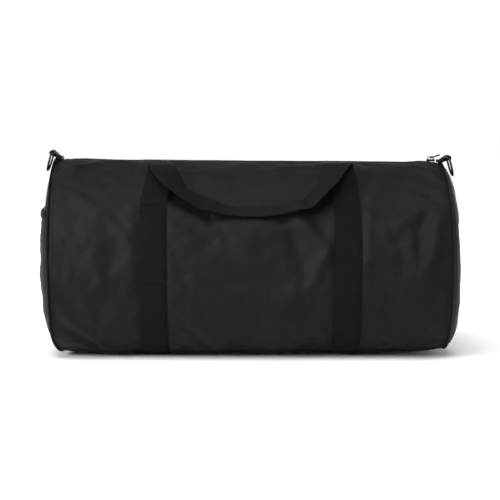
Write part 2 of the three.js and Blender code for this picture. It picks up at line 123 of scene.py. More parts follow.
# ---- Creases and dents of the filled cloth ----
# Each runs between two places: x, angle, x, angle. Then come its height and its half width. All
# but the angles are in millimetres.
FOLDS = [
    (-286, 33, -248, 24, 8, 7.5),
    (-248, 24, -222, 15, 5, 8),
    (-110, 63, -52, 76, -4, 5.5),
    (-96, 57, -46, 70, 2.4, 8),
    (-216, 5, -158, 17, 3.4, 8),
    (-152, 17, -126, 4, 2.6, 7),
    (190, 10, 227, 15, 2.2, 10),
    (236, 17, 286, 37, 8.5, 8),
    (252, 17, 284, 25, 2.6, 6),
    (70, 64, 112, 82, 6.2, 9.5),
    (112, 82, 84, 99, 4, 9.5),
    (52, 66, 80, 95, -6.2, 12),
    (192, 69, 246, 57, 3.8, 10),
    (269, 58, 258, 84, 4.6, 9),
    (258, 84, 240, 96, 2.6, 8),
    (224, 80, 239, 93, 3.4, 8),
    (246, 62, 236, 80, -4.2, 10),
    (170, 44, 166, 98, 2.4, 8),
    (-199, 64, -164, 80, 3, 7),
    (-186, 60, -160, 70, 1.8, 6),
    (-226, 76, -218, 90, 2.6, 10),
    (-218, 90, -202, 102, 2, 10),
    (-240, 100, -228, 112, 2, 9),
    (-228, 112, -212, 124, 2.4, 9),
    (-286, 119, -224, 141, -4.6, 9),
    (-280, 110, -222, 130, 3, 9),
    (240, 128, 284, 118, 3, 9),
    (-70, 84, -20, 100, 1.6, 12),
    (-20, 76, 15, 92, 2, 9),
    (20, 108, 70, 122, 1.6, 12),
    (-100, 32, -20, 22, 1.6, 12),
    (30, 20, 120, 12, 1.6, 10),
    (-262, -34, -214, -58, 3.6, 10),
    (-190, -70, -225, -96, 3, 10),
    (-80, -62, -30, -92, 4.8, 12),
    (-62, -56, -8, -82, -4, 11),
    (60, -100, 20, -122, 2.8, 12),
    (215, -48, 262, -84, 4.2, 10),
    (236, -46, 276, -70, -3, 9),
    (180, -16, 262, -30, 3.4, 9),
    (-180, -14, -265, -24, 3, 9),
]


def fold_height(x, arc):
    """All the folds at points (x, arc along the barrel), in metres."""
    height = np.zeros_like(x)
    for x0, angle0, x1, angle1, tall, wide in FOLDS:
        start = np.array([x0 / 1000, math.radians(angle0) * RADIUS])
        way = np.array([x1 / 1000, math.radians(angle1) * RADIUS]) - start
        share = ((x - start[0]) * way[0] + (arc - start[1]) * way[1]) / (way @ way)
        near = np.clip(share, 0, 1)
        gap = np.hypot(x - start[0] - near * way[0], arc - start[1] - near * way[1])
        across = np.exp(-((gap * 1000 / wide) ** 2))
        height += tall / 1000 * across * (0.55 + 0.45 * np.sin(np.pi * near))
    return height


def rough(x, arc, size, seed, octaves=3):
    """Smooth noise over the cloth, about -1 to 1, with lumps of the given size in metres."""
    scale = 1 / size
    flat = [
        noise.fractal(Vector((a * scale, b * scale, seed)), 0.8, 2.0, octaves)
        for a, b in zip(np.ravel(x), np.ravel(arc))
    ]
    return np.reshape(flat, np.shape(x))


def lumps(x, arc, sets):
    """Noise summed from sets of (height, size, seed)."""
    return sum(tall * rough(x, arc, size, seed) for tall, size, seed in sets)


def settle(x):
    """How far the top has sunk along the zip, from the middle's full depth to none at the slider."""
    return TOP_SETTLE * (1 - smooth(x, SLIDER_X - 0.040, SLIDER_X - 0.012))


def zip_sink(x):
    """How far the zip itself has sunk: with the top, and into a hollow towards its left end."""
    hollow = smooth(-x, -0.030, 0.220) * (1 - smooth(-x, 0.266, 0.276))
    return settle(x) + ZIP_HOLLOW * hollow


DRAPE = {}               # the simulated cloth: its grid of places and how far each stands out


def drape(x, turn):
    """How far the simulated cloth stands out at places on the barrel, from its grid."""
    if not DRAPE:
        return np.zeros_like(x)
    rows, columns, out = DRAPE["x"], DRAPE["turn"], DRAPE["out"]
    a = np.interp(x, rows, np.arange(len(rows)))
    b = np.interp(np.mod(turn, 360), columns, np.arange(len(columns)))
    i, j = np.minimum(a.astype(int), len(rows) - 2), np.minimum(b.astype(int), len(columns) - 2)
    f, g = a - i, b - j
    f, g = f * f * (3 - 2 * f), g * g * (3 - 2 * g)
    near = out[i, j] * (1 - g) + out[i, j + 1] * g
    far = out[i + 1, j] * (1 - g) + out[i + 1, j + 1] * g
    return near * (1 - f) + far * f


def relief(x, angle):
    """How far the filled cloth stands out from the plain barrel."""
    drop = drape(x, angle)
    angle = np.where(angle > 180, angle - 360, angle)
    arc = np.radians(angle) * RADIUS
    from_seam = SEAM_X - np.abs(x)
    held = 1 - 0.75 * smooth(0.030 - np.abs(np.abs(x) - BAND_X), 0, 0.012)
    height = lumps(x, arc, CLOTH_LUMPS)
    height += fold_height(x, arc) + FILL + drop
    height *= held * (0.25 + 0.75 * smooth(from_seam, 0.0, 0.035))
    # Puckers run into the end seams and into the edges of the sewn webbing, which presses the cloth in.
    pucker = rough(x * 0.3, arc, 0.011, 21.0, 2)
    height += SEAM_PUCKER * pucker * np.exp(-from_seam / SEAM_PUCKER_REACH)
    band_edge = np.abs(np.abs(np.abs(x) - BAND_X) - WEBBING / 2)
    sewn = smooth(np.abs(angle), 56, 66)
    pucker = rough(x * 0.3, arc, 0.010, 33.0, 2)
    height += BAND_PUCKER * pucker * np.exp(-band_edge / BAND_PUCKER_REACH) * sewn
    height -= BAND_PRESS * np.exp(-((band_edge / BAND_PRESS_REACH) ** 2)) * sewn
    # The base seams draw in, and the cloth lies in along the zip.
    to_base = np.abs(np.abs(angle) - BASE_SEAM) / degrees_of(BASE_DRAW_REACH)
    height -= BASE_DRAW * np.exp(-(to_base**2))
    beside_zip = np.abs(arc) - ZIP_EDGE
    height = np.where(beside_zip < 0.03, height * smooth(beside_zip, -0.002, 0.03), height)
    height -= settle(x) * np.exp(-((angle / 26) ** 2))
    height -= (zip_sink(x) - settle(x)) * np.exp(-((angle / 8) ** 2))
    return height - ZIP_VALLEY * np.exp(-((np.maximum(beside_zip, 0) / 0.012) ** 2))


def curve_through(knots, count):
    """A smooth curve through knots (rows of numbers), as count points evenly spaced by knot number."""
    knots = np.asarray(knots, float)
    padded = np.vstack([2 * knots[0] - knots[1], knots, 2 * knots[-1] - knots[-2]])
    t = np.linspace(0, len(knots) - 1, count)
    k = np.minimum(t.astype(int), len(knots) - 2)
    f = (t - k)[:, None]
    a, b, c, d = (padded[k + i] for i in range(4))
    return 0.5 * (2 * b + (c - a) * f + (2 * a - 5 * b + 4 * c - d) * f**2 + (3 * b - a - 3 * c + d) * f**3)


SEAM_CURVE = curve_through(SEAM_SHIFTS, 160)


def seam_shift(x, angle):
    """How far an end seam stands out at this angle, at the end that x lies towards."""
    turn = np.abs(np.where(np.asarray(angle) > 180, np.asarray(angle) - 360, angle))
    left = np.interp(turn, SEAM_CURVE[:, 0], SEAM_CURVE[:, 1])
    right = np.interp(turn, SEAM_CURVE[:, 0], SEAM_CURVE[:, 2])
    return np.where(np.asarray(x) < 0, left, right)


def barrel(x, angle, out=0.0, height=0.0):
    """Points of the barrel, out metres off its cloth, where the cloth's creases stand height out."""
    x, angle, out, height = np.broadcast_arrays(np.asarray(x, float), np.asarray(angle, float), out, height)
    turn = np.radians(angle)
    side, rise = np.sin(turn), np.cos(turn)
    draw = np.clip(np.abs(x) / SEAM_X, 0, 1) ** 8
    radius = RADIUS - END_DRAW * draw + out + height
    power = np.where(rise >= 0, 1.0, 2 / SAG_EXPONENT)
    y = -radius * np.sign(side) * np.abs(side) ** power
    z = AXIS_Z + radius * np.sign(rise) * np.abs(rise) ** power
    tilt = LEFT_RISE * np.clip(-x / SEAM_X, 0, 1) - RIGHT_FALL * np.clip(x / SEAM_X, 0, 1)
    tilt = tilt * (1 - 0.6 * smooth(np.abs(x), SEAM_X - 0.016, SEAM_X + 0.004))
    tilt = tilt - RIGHT_SHOULDER * smooth(x, SEAM_X - 0.022, SEAM_X + 0.010)
    z = z + tilt * np.clip(rise, 0, 1)
    between_bands = smooth(np.abs(np.abs(x) - BAND_X), 0.022, 0.045)
    lift = np.where(x < 0, LEFT_LIFT, RIGHT_LIFT) * draw
    sole = SOLE_Z - 0.0009 * between_bands + lift - out - np.clip(height, -0.0012, 0.0004)
    z = sole + SOLE_ROUNDING * np.logaddexp(0, (z - sole) / SOLE_ROUNDING)
    share = np.abs(x) / SEAM_X
    return np.stack([x + np.sign(x) * seam_shift(x, angle) * np.minimum(share, 1.02) ** 6, y, z], -1)


def cloth(x, angle, out=0.0):
    """Points of the filled barrel's outer face, creases and all."""
    x, angle = np.broadcast_arrays(np.asarray(x, float), np.asarray(angle, float))
    return barrel(x, angle, out, relief(x, angle))


# ---- Mesh work ----
STITCH_PITCH = 0.0034
STITCH_SIZE = 0.00034    # half a stitch's width
THREAD_SLOT = 1          # the sewing thread is the second material of every sewn piece
SHARP_ANGLE = 50         # edges sharper than this stay sharp


def add_object(name, data):
    """A new object in the scene."""
    made = bpy.data.objects.new(name, data)
    bpy.context.scene.collection.objects.link(made)
    return made


def reach_along(points):
    """The distance along a line of points, from its first."""
    return np.r_[0, np.cumsum(np.linalg.norm(np.diff(points, axis=0), axis=1))]


def lengths(across, along):
    """Cloth lengths over a grid, from its columns' and its rows' distances."""
    return np.stack(np.broadcast_arrays(across[None], along[:, None]), -1)


def sample(line, reach, at):
    """Points of a line at distances along it, where reach holds its own points' distances."""
    return np.stack([np.interp(at, reach, line[:, k]) for k in range(3)], -1)


class Piece:
    """Gathers grids, tubes and stitches into one mesh object with its materials; it lists blend weights too,
    which the mesh doesn't take.
    """

    def __init__(self, name):
        self.name = name
        self.points, self.faces, self.slots, self.uvs, self.weights = [], [], [], [], []
        self.count = 0

    def add(self, points, faces, slot=0, uv=None, weight=None):
        """Adds points, and quads counted from the first of them; a triangle repeats its last corner."""
        points = np.asarray(points, float).reshape(-1, 3)
        self.add_faces(np.asarray(faces, int) + self.count, slot)
        self.points.append(points)
        self.uvs.append(np.zeros((len(points), 2)) if uv is None else np.reshape(uv, (-1, 2)))
        self.weights.append(np.zeros(len(points)) if weight is None else np.ravel(weight))
        self.count += len(points)

    def add_faces(self, faces, slot=0):
        self.faces.append(faces)
        self.slots.append(np.full(len(faces), slot))

    def grid(self, points, uv, weight, around=False, along=False):
        """A sheet of quads over rows and columns of points, closed around its columns or along its rows."""
        rows, columns = points.shape[:2]
        index = np.arange(rows * columns).reshape(rows, columns)
        if along:
            index = np.vstack([index, index[:1]])
        if around:
            index = np.hstack([index, index[:, :1]])
        corners = [index[:-1, :-1], index[:-1, 1:], index[1:, 1:], index[1:, :-1]]
        self.add(points, np.stack(corners, -1).reshape(-1, 4), 0, uv, weight)

    def slab(self, outer, inner, uv=None, weight=None, around=False, flip=False):
        """A closed solid between two grids of points; flip turns the order of their rows round."""
        weight = np.zeros(outer.shape[:2]) if weight is None else weight
        if flip:
            outer, inner, weight = outer[::-1], inner[::-1], weight[::-1]
            uv = None if uv is None else uv[::-1]
        uv = surface_uv(outer) if uv is None else uv
        pairs = ((outer, inner), (uv, uv), (weight, weight))
        if around:
            self.grid(*(np.concatenate([a, b[::-1], a[:1]]) for a, b in pairs), around=True)
            return
        base = self.count
        self.grid(*(np.concatenate([a, b[:, ::-1]], 1) for a, b in pairs), around=True)
        rows, columns = outer.shape[:2]
        for row, turned in ((0, False), (rows - 1, True)):
            start = base + row * 2 * columns
            near = start + np.arange(columns)
            far = start + 2 * columns - 1 - np.arange(columns)
            quads = np.stack([near[:-1], far[:-1], far[1:], near[1:]], -1)
            self.add_faces(quads[:, ::-1] if turned else quads)

    def tube(self, path, radius, sides=10, closed=False, weight=None):
        """A round tube along points; an open one has rounded ends."""
        path = np.asarray(path, float)
        tangent = np.roll(path, -1, 0) - np.roll(path, 1, 0)
        if not closed:
            tangent[0], tangent[-1] = path[1] - path[0], path[-1] - path[-2]
        tangent /= np.linalg.norm(tangent, axis=1, keepdims=True)
        helper = np.array([0.0, 0.0, 1.0]) if abs(tangent[0][2]) < 0.9 else np.array([0.0, 1.0, 0.0])
        across = np.cross(tangent[0], helper)
        frames = []
        for way in tangent:
            across = across - way * (across @ way)
            across /= np.linalg.norm(across)
            frames.append(across)
        across = np.array(frames)
        up = np.cross(tangent, across)
        turn = np.linspace(0, 2 * math.pi, sides, endpoint=False)
        size = np.full(len(path), float(radius))
        if not closed:
            size[[0, -1]] *= 0.55
        ring = np.cos(turn)[None, :, None] * across[:, None] + np.sin(turn)[None, :, None] * up[:, None]
        points = path[:, None] + ring * size[:, None, None]
        uv = lengths(turn * np.mean(size), reach_along(path))
        each = None if weight is None else np.repeat(np.ravel(weight), sides)
        base = self.count
        self.grid(points, uv, each, around=True, along=closed)
        if closed:
            return
        for start, step in ((base, -1), (base + (len(path) - 1) * sides, 1)):
            order = (start + np.arange(sides))[::step]
            fan = [[order[0], order[k], order[k + 1], order[k + 1]] for k in range(1, sides - 1)]
            self.add_faces(np.array(fan))

    def stitches(self, path, normals, pitch=STITCH_PITCH, size=STITCH_SIZE, weight=None):
        """A row of thread stitches along a path on a surface, with its normals or one normal for all."""
        path = np.asarray(path, float)
        normals = np.broadcast_to(np.asarray(normals, float), path.shape)
        reach = reach_along(path)
        count = max(1, int(reach[-1] / pitch))
        middle = (np.arange(count) + 0.5) * reach[-1] / count
        half = 0.36 * pitch
        place = sample(path, reach, middle)
        way = sample(path, reach, middle + half) - sample(path, reach, middle - half)
        way /= np.maximum(np.linalg.norm(way, axis=1, keepdims=True), 1e-9)
        up = sample(normals, reach, middle)
        up -= way * np.sum(up * way, 1, keepdims=True)
        up /= np.maximum(np.linalg.norm(up, axis=1, keepdims=True), 1e-9)
        side = np.cross(way, up)
        # Four rings of five points: how far along, how wide and how high each ring is.
        points = []
        for reach_out, wide, lift in ((-1, 0.35, -0.5), (-0.45, 1, 0.35), (0.45, 1, 0.35), (1, 0.35, -0.5)):
            for t in np.linspace(0, 2 * math.pi, 5, endpoint=False):
                local = side * math.cos(t) * wide + up * (math.sin(t) * wide + lift)
                points.append(place + way * half * reach_out + local * size)
        points = np.stack(points, 1)
        ring = np.arange(5)
        after = (ring + 1) % 5
        faces = [np.stack([ring, after, after + 5, ring + 5], -1) + 5 * r for r in range(3)]
        faces.append(np.array([[2, 1, 0, 0], [3, 2, 0, 0], [4, 3, 0, 0]]))
        faces.append(np.array([[15, 16, 17, 17], [15, 17, 18, 18], [15, 18, 19, 19]]))
        faces = np.concatenate(faces)[None] + (np.arange(count) * 20)[:, None, None]
        each = None if weight is None else np.repeat(np.interp(middle, reach, np.ravel(weight)), 20)
        self.add(points, faces.reshape(-1, 4), THREAD_SLOT, None, each)

    def build(self, *materials):
        points = np.concatenate(self.points)
        faces = [f[:3].tolist() if f[2] == f[3] else f.tolist() for part in self.faces for f in part]
        mesh = bpy.data.meshes.new(self.name)
        mesh.from_pydata(points.tolist(), [], faces)
        mesh.polygons.foreach_set("material_index", np.concatenate(self.slots).astype(np.int32))
        mesh.polygons.foreach_set("use_smooth", np.ones(len(faces), bool))
        uv = np.concatenate(self.uvs)
        layer = mesh.uv_layers.new(name="cloth")
        corner = np.zeros(len(mesh.loops), np.int32)
        mesh.loops.foreach_get("vertex_index", corner)
        layer.data.foreach_set("uv", uv[corner].astype(np.float32).ravel())
        for material in materials:
            mesh.materials.append(material)
        mesh.validate()
        mesh.update()
        mesh.set_sharp_from_angle(angle=math.radians(SHARP_ANGLE))
        return add_object(self.name, mesh)


def surface_uv(points):
    """Distances along the rows and columns of a grid, in metres."""
    down = np.linalg.norm(np.diff(points, axis=0), axis=2).mean(1)
    across = np.linalg.norm(np.diff(points, axis=1), axis=2).mean(0)
    v, u = np.meshgrid(np.r_[0, np.cumsum(down)], np.r_[0, np.cumsum(across)], indexing="ij")
    return np.stack([u, v], -1)


def normals_of(points):
    """Unit normals of a grid, pointing the way that rows cross columns."""
    n = np.cross(np.gradient(points, axis=0), np.gradient(points, axis=1))
    return n / np.maximum(np.linalg.norm(n, axis=-1, keepdims=True), 1e-12)


MOUTH_FULL, MOUTH_STILL = 30, 92    # degrees from the top: where the mouth weight is full, and where it is none


def mouth_weight(x, angle):
    """A weight for a place, full along the mouth's edge: a lens from the closed left end to the right end.
    """
    left = -SLIDER_X + 0.012
    share = np.clip((np.asarray(x) - left) / (MOUTH_END_X - left), 0, 1)
    lens = (4 * share * (1 - share)) ** 0.7
    return lens * (1 - smooth(np.abs(angle), MOUTH_FULL, MOUTH_STILL))


def bend(made):
    """Bakes a piece's placement into its points."""
    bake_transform(made)


# ---- Materials ----
def shader_of(material):
    return material.node_tree.nodes["Principled BSDF"]


def new_material(name, color, roughness, gloss, sheen=0.0, sheen_roughness=0.5):
    material = bpy.data.materials.new(name)
    material.use_nodes = True
    inputs = shader_of(material).inputs
    inputs["Base Color"].default_value = (*color, 1)
    inputs["Roughness"].default_value = roughness
    inputs["Specular IOR Level"].default_value = gloss
    inputs["Sheen Weight"].default_value = sheen
    inputs["Sheen Roughness"].default_value = sheen_roughness
    return material


def node(material, kind, **values):
    made = material.node_tree.nodes.new(kind)
    for key, value in values.items():
        if key in made.inputs:
            made.inputs[key].default_value = value
        else:
            setattr(made, key, value)
    return made


def math_node(material, operation, first, second=None):
    made = node(material, "ShaderNodeMath", operation=operation)
    for place, value in enumerate(v for v in (first, second) if v is not None):
        if isinstance(value, (int, float)):
            made.inputs[place].default_value = value
        else:
            material.node_tree.links.new(value, made.inputs[place])
    return made.outputs[0]


def cloud_noise(material, size, **values):
    """Noise from 0 to 1 with lumps of this size in metres."""
    place = node(material, "ShaderNodeTexCoord").outputs["Object"]
    made = node(material, "ShaderNodeTexNoise", Scale=1 / size, **values)
    material.node_tree.links.new(place, made.inputs["Vector"])
    return made.outputs["Fac"]


def patchy_material(name, color, roughness, gloss, patches, **sheen):
    """A material with soft patches: their spread in colour, their size and their spread in roughness."""
    material = new_material(name, color, roughness, gloss, **sheen)
    spread, size, roughness_spread = patches
    links, inputs = material.node_tree.links, shader_of(material).inputs
    cloud = cloud_noise(material, size, Detail=5.0, Roughness=0.6)
    ramp = node(material, "ShaderNodeMapRange")
    ramp.inputs["From Min"].default_value = 0.3
    ramp.inputs["From Max"].default_value = 0.7
    links.new(cloud, ramp.inputs["Value"])
    mixer = node(material, "ShaderNodeMix", data_type="RGBA")
    mixer.inputs[6].default_value = (*[c * (1 - spread) for c in color], 1)
    mixer.inputs[7].default_value = (*[c * (1 + spread) for c in color], 1)
    links.new(ramp.outputs[0], mixer.inputs[0])
    links.new(mixer.outputs[2], inputs["Base Color"])
    wear = node(material, "ShaderNodeMapRange")
    wear.inputs["To Min"].default_value = roughness - roughness_spread
    wear.inputs["To Max"].default_value = roughness + roughness_spread
    links.new(cloud, wear.inputs["Value"])
    links.new(wear.outputs[0], inputs["Roughness"])
    return material


def bump(material, height, depth, strength, base=None):
    """Raises the surface by a height; base is a broader bump under it."""
    links = material.node_tree.links
    made = node(material, "ShaderNodeBump", Strength=strength, Distance=depth)
    links.new(height, made.inputs["Height"])
    if base is not None:
        links.new(base, made.inputs["Normal"])
    links.new(made.outputs[0], shader_of(material).inputs["Normal"])
    return made.outputs[0]


def thread_waves(material, pitch_across, pitch_along):
    """Two rows of round threads from the cloth's own lengths: (across, along), each -1 to 1."""
    uv = node(material, "ShaderNodeUVMap", uv_map="cloth").outputs[0]
    split = node(material, "ShaderNodeSeparateXYZ")
    material.node_tree.links.new(uv, split.inputs[0])
    waves = []
    for axis, pitch in ((0, pitch_across), (1, pitch_along)):
        phase = math_node(material, "MULTIPLY", split.outputs[axis], 2 * math.pi / pitch)
        waves.append(math_node(material, "SINE", phase))
    return waves


def weave(material, pitch, depth, strength, base=None):
    """Fine threads that cross."""
    across, along = thread_waves(material, pitch, pitch)
    bump(material, math_node(material, "MULTIPLY", across, along), depth, strength, base)


def webbing_material(name, color, roughness, gloss, rib_height):
    """Ribbed webbing, with a rib every 3.2 mm along it and fainter cords every 1.5 mm across."""
    material = patchy_material(name, color, roughness, gloss, (0.16, 0.02, 0.08), sheen=0.004)
    across, along = thread_waves(material, 0.0030, 0.0064)
    ribs = math_node(material, "ABSOLUTE", along)
    cords = math_node(material, "MULTIPLY", math_node(material, "ABSOLUTE", across), 0.16)
    bump(material, math_node(material, "ADD", ribs, cords), rib_height, 1.0)
    return material


SHELL = patchy_material("shell_fabric", (0.0072, 0.0072, 0.0074), 0.50, 0.085, (0.13, 0.045, 0.08),
                        sheen=0.004, sheen_roughness=0.4)
SLACK = bump(SHELL, cloud_noise(SHELL, 0.012, Detail=4.0), 0.0006, 0.5)
weave(SHELL, 0.0011, 0.00012, 0.6, SLACK)
BAND = webbing_material("webbing", (0.0060, 0.0060, 0.0062), 0.70, 0.045, 0.0009)
# The back copy of the webbing is smoother. Its colour is a touch lighter as painted light, for the handle's
# faces that turn up to the light.
BAND_BACK_LIT = webbing_material("webbing_back_lit", (0.0063, 0.0063, 0.0065), 0.64, 0.055, 0.00045)
TRIM = patchy_material("trim_cloth", (0.0034, 0.0034, 0.0035), 0.6, 0.07, (0.12, 0.015, 0.08), sheen=0.004)
weave(TRIM, 0.0012, 0.00014, 0.7)
THREAD = patchy_material("thread", (0.0042, 0.0042, 0.0043), 0.5, 0.10, (0.15, 0.003, 0.08), sheen=0.004)
COIL = patchy_material("zip_nylon", (0.0045, 0.0045, 0.0047), 0.34, 0.3, (0.10, 0.004, 0.06))
METAL = patchy_material("black_metal", (0.034, 0.034, 0.036), 0.42, 0.5, (0.2, 0.006, 0.07))
shader_of(METAL).inputs["Metallic"].default_value = 1.0
# A dark tint keeps the flat faces from shining white when they are seen edge-on.
shader_of(METAL).inputs["Specular Tint"].default_value = (0.02, 0.02, 0.02, 1.0)
bump(METAL, cloud_noise(METAL, 0.0015, Detail=3.0), 0.00004, 0.5)

# ---- Camera, floor and light ----
VIEW_DISTANCE = 2.8
VIEW_WIDTH = 0.740       # what the frame takes in, at the bag's middle
VIEW_RISE = math.radians(5)
AIM = Vector((0.0, 0.0, 0.1478))
FLOOR_HALF = 12.0
OVERHEAD_POWER = 2.7
OVERHEAD_BREADTH = math.radians(40)
OVERHEAD_WAY = (0.10, 0.44, -1.0)


def look_along(thing, way):
    """Turns a camera or a light to look along a direction."""
    thing.rotation_euler = Vector(way).to_track_quat("-Z", "Y").to_euler()


def make_camera():
    data = bpy.data.cameras.new("camera")
    data.lens = data.sensor_width * VIEW_DISTANCE / VIEW_WIDTH
    camera = add_object("camera", data)
    back = Vector((0, -math.cos(VIEW_RISE), math.sin(VIEW_RISE)))
    camera.location = AIM + back * VIEW_DISTANCE
    look_along(camera, -back)
    bpy.context.scene.camera = camera


def make_light(name, place, aim, width, height, power):
    """A rectangular lamp, out of the camera's sight."""
    data = bpy.data.lights.new(name, "AREA")
    data.shape = "RECTANGLE"
    data.size, data.size_y = width, height
    data.energy = power
    light = add_object(name, data)
    light.visible_camera = False
    light.location = place
    look_along(light, Vector(aim) - Vector(place))


def make_overhead():
    """A broad, even light from high up in front."""
    data = bpy.data.lights.new("overhead", "SUN")
    data.energy = OVERHEAD_POWER
    data.angle = OVERHEAD_BREADTH
    look_along(add_object("overhead", data), OVERHEAD_WAY)


def make_stage():
    """A white floor, in a room with white walls and a dimmer ceiling."""
    data = bpy.data.meshes.new("floor")
    corners = [(FLOOR_HALF * x, FLOOR_HALF * y, 0) for x, y in ((-1, -1), (1, -1), (1, 1), (-1, 1))]
    data.from_pydata(corners, [], [(0, 1, 2, 3)])
    data.materials.append(new_material("floor_paper", (0.92, 0.92, 0.92), 0.8, 0.1))
    floor = add_object("floor", data)
    world = bpy.data.worlds.new("studio")
    world.use_nodes = True
    nodes, links = world.node_tree.nodes, world.node_tree.links
    sky = nodes["Background"]
    sky.inputs["Color"].default_value = (1, 1, 1, 1)
    place = nodes.new("ShaderNodeTexCoord")
    split = nodes.new("ShaderNodeSeparateXYZ")
    fade = nodes.new("ShaderNodeMapRange")
    links.new(place.outputs["Generated"], split.inputs[0])
    links.new(split.outputs[2], fade.inputs["Value"])
    for name, value in (("From Min", 0.16), ("From Max", 0.42), ("To Min", 1.06), ("To Max", 0.26)):
        fade.inputs[name].default_value = value
    links.new(fade.outputs[0], sky.inputs["Strength"])
    bpy.context.scene.world = world


make_camera()
make_stage()
bpy.context.scene.view_settings.view_transform = "Standard"
make_overhead()
make_light("left_fill", (-2.2, -1.4, 0.95), (-0.1, 0, 0.15), 0.7, 0.8, 66)
make_light("back_fill", (0.4, 2.6, 0.30), (0, 0, 0.12), 1.6, 0.4, 40)

# ---- The filled cloth, simulated ----
DRAPE_STEP = 0.0062      # between the sheet's points
DRAPE_CAP = 0.006        # the cloth stands out less than this
DRAPE_SHARE = 0.62       # how much of the simulated height the bag keeps
DRAPE_FRAMES = 24
DRAPE_SETTINGS = {
    "vertex_group_mass": "sewn",
    "quality": 7,
    "mass": 0.12,
    "tension_stiffness": 18,
    "compression_stiffness": 18,
    "shear_stiffness": 6,
    "bending_stiffness": 0.6,
    "air_damping": 2,
    "use_pressure": True,
    "uniform_pressure_force": 1.4,
    "shrink_min": -0.022,
}


def simulate_drape():
    """Fills the sewn barrel with a little pressure and keeps how far its slack cloth stands out."""
    first = degrees_of(ZIP_EDGE)
    rows = spread(-SEAM_X, SEAM_X, DRAPE_STEP)
    columns = spread(first, 360 - first, degrees_of(DRAPE_STEP))
    x, turn = np.meshgrid(rows, columns, indexing="ij")
    arc = np.radians(turn) * RADIUS
    seed = 0.0007 * rough(x, arc, 0.028, 140.0, 2)
    start = barrel(x, turn, seed)
    corner = np.arange(x.size).reshape(x.shape)
    quads = np.stack([corner[:-1, :-1], corner[1:, :-1], corner[1:, 1:], corner[:-1, 1:]], -1).reshape(-1, 4)
    mesh = bpy.data.meshes.new("drape")
    mesh.from_pydata(start.reshape(-1, 3).tolist(), [], quads.tolist())
    sheet = add_object("drape", mesh)
    folded = np.minimum(turn, 360 - turn)
    held = 1 - smooth(SEAM_X - np.abs(x), 0.001, 0.009)
    held = np.maximum(held, 1 - smooth(folded - first, 0.3, 3))
    under_band = 1 - smooth(np.abs(np.abs(x) - BAND_X), WEBBING / 2 - 0.002, WEBBING / 2 + 0.004)
    held = np.maximum(held, under_band * smooth(folded, 50, 58))
    held = np.maximum(held, 0.9 * smooth(folded, 140, 152))
    group = sheet.vertex_groups.new(name="sewn")
    for index, value in enumerate(held.ravel()):
        if value > 0.01:
            group.add([index], float(value), "REPLACE")
    cloth_sim = sheet.modifiers.new("drape", "CLOTH")
    for key, value in DRAPE_SETTINGS.items():
        setattr(cloth_sim.settings, key, value)
    cloth_sim.settings.effector_weights.gravity = 0.12
    cloth_sim.point_cache.frame_start = 1
    cloth_sim.point_cache.frame_end = DRAPE_FRAMES
    scene = bpy.context.scene
    for frame_number in range(1, DRAPE_FRAMES + 1):
        scene.frame_set(frame_number)
    done = sheet.evaluated_get(bpy.context.evaluated_depsgraph_get())
    places = np.zeros(x.size * 3)
    done.data.vertices.foreach_get("co", places)
    moved = places.reshape(x.shape + (3,)) - start
    outward = normals_of(start)
    middle = np.array([0, 0, AXIS_Z])
    outward *= np.sign(np.sum(outward * (start - middle) * [0, 1, 1], -1, keepdims=True))
    out = np.sum(moved * outward, -1) + seed
    DRAPE["x"], DRAPE["turn"] = rows, columns
    DRAPE["out"] = DRAPE_SHARE * DRAPE_CAP * np.tanh(out / DRAPE_CAP)
    scene.frame_set(1)
    bpy.data.objects.remove(sheet)
    bpy.data.meshes.remove(mesh)


simulate_drape()

# ---- Barrel cloth ----
CLOTH_THICKNESS = 0.0009
STITCH_LIFT = 0.0002


def cloth_row(piece, x, angle, weight=None, out=STITCH_LIFT, pitch=STITCH_PITCH):
    """A row of stitches over the barrel's cloth, through places given by x and angle."""
    path = cloth(x, angle, out)
    outward = path - [0, 0, AXIS_Z]
    outward[:, 0] -= x
    outward /= np.linalg.norm(outward, axis=1, keepdims=True)
    piece.stitches(path, outward, pitch, weight=weight)


def make_barrel_side(name, side, nodes):
    """One half of the barrel's cloth, from the zip round to the middle of the base."""
    piece = Piece(name)
    x = spread(-SEAM_X, SEAM_X, 0.0032)
    first = degrees_of(ZIP_EDGE)
    turns = np.concatenate([
        first + degrees_of(1) * np.array([0, 0.0008, 0.0016, 0.0024, 0.0032, 0.0046]),
        spread(first + degrees_of(0.0065), 180, degrees_of(0.0032)),
    ])
    grid_x, turn = np.meshgrid(x, turns, indexing="ij")
    angle = side * turn
    height = relief(grid_x, angle)
    # The edge along the zip is turned under and stitched down.
    hem = np.exp(-(((turn - first) / degrees_of(0.0042)) ** 4)) * 0.0006
    outer = barrel(grid_x, angle, hem, height)
    inner = barrel(grid_x, angle, -CLOTH_THICKNESS - hem * 0.5, height)
    uv = np.stack([grid_x, np.radians(turn) * RADIUS], -1)
    piece.slab(outer, inner, uv, mouth_weight(grid_x, angle), flip=side > 0)
    fine = spread(-MOUTH_END_X, MOUTH_END_X, 0.002)
    for reach in (0.0032, 0.0068):
        row = np.full_like(fine, side * (first + degrees_of(reach)))
        cloth_row(piece, fine, row, mouth_weight(fine, row), STITCH_LIFT + 0.0001, 0.003)
    for reach in (-0.0026, 0.0026):
        row = np.full_like(fine, side * (BASE_SEAM + degrees_of(reach)))
        cloth_row(piece, fine, row)
    for end in (-1, 1):
        turn_row = spread(first + 1, 180, 0.6)
        row_x = np.full_like(turn_row, end * (SEAM_X - 0.0065))
        cloth_row(piece, row_x, side * turn_row, mouth_weight(row_x, turn_row))
    made = piece.build(SHELL, THREAD)
    bend(made)
    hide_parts(*nodes)


make_barrel_side("barrel_cloth_front", 1, ("front_panel", "base_panel", "mouth_panel_front"))
make_barrel_side("barrel_cloth_back", -1, ("back_panel", "mouth_panel_back"))

